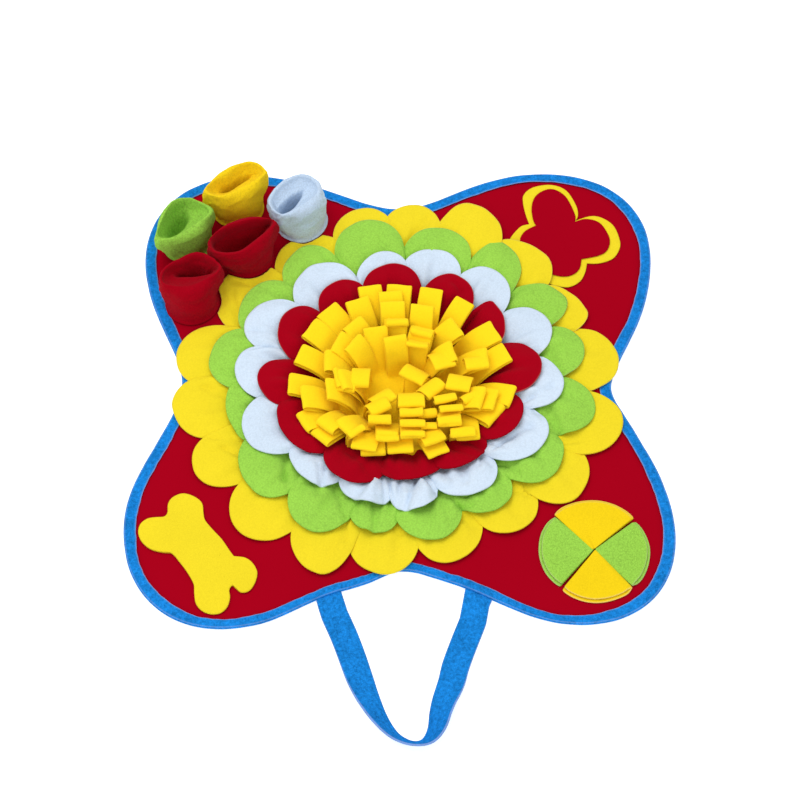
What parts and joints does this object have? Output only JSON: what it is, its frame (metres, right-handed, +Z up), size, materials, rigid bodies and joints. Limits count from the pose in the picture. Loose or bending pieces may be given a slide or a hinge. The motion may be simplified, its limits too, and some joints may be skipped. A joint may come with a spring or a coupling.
{
  "type": "snuffle mat",
  "caption": "Four-lobed felt forage mat with a bound edge, a carrying strap, a layered petal flower round a bush of fleece loops, and cups, a clover, a bone and a ball on its lobes.",
  "frame": {"origin": "middle of the flower, on the mat's underside", "axes": "+X to the right, +Y away from the carrying strap, +Z up out of the mat"},
  "size_m": [0.5003, 0.6186, 0.052],
  "materials": {
    "burgundy_felt": "matte pressed felt",
    "blue_tape": "brushed nylon tape",
    "yellow_fleece": "matte fleece",
    "green_fleece": "pebbled fleece",
    "pale_blue_fleece": "pebbled fleece",
    "red_fleece": "matte fleece"
  },
  "bodies": {
    "root": {"base_cloth": "burgundy_felt", "edge_binding": "blue_tape", "handle_strap": "blue_tape", "petals_yellow": "yellow_fleece", "petals_green": "green_fleece", "petals_pale_blue": "pale_blue_fleece", "petals_red": "red_fleece", "loops_ring_1": "yellow_fleece", "loops_ring_2": "yellow_fleece", "loops_ring_3": "yellow_fleece", "loops_ring_4": "yellow_fleece", "loops_ring_5": "yellow_fleece", "loops_ring_6": "yellow_fleece", "cup_green": "green_fleece", "cup_yellow": "yellow_fleece", "cup_pale_blue": "pale_blue_fleece", "cup_red_rear": "red_fleece", "cup_red_front": "red_fleece", "clover_outer": "yellow_fleece", "clover_inner": "burgundy_felt", "bone": "yellow_fleece", "ball_flap_far": "yellow_fleece", "ball_flap_right": "green_fleece", "ball_flap_near": "yellow_fleece", "ball_flap_left": "green_fleece"}
  },
  "joints": []
}
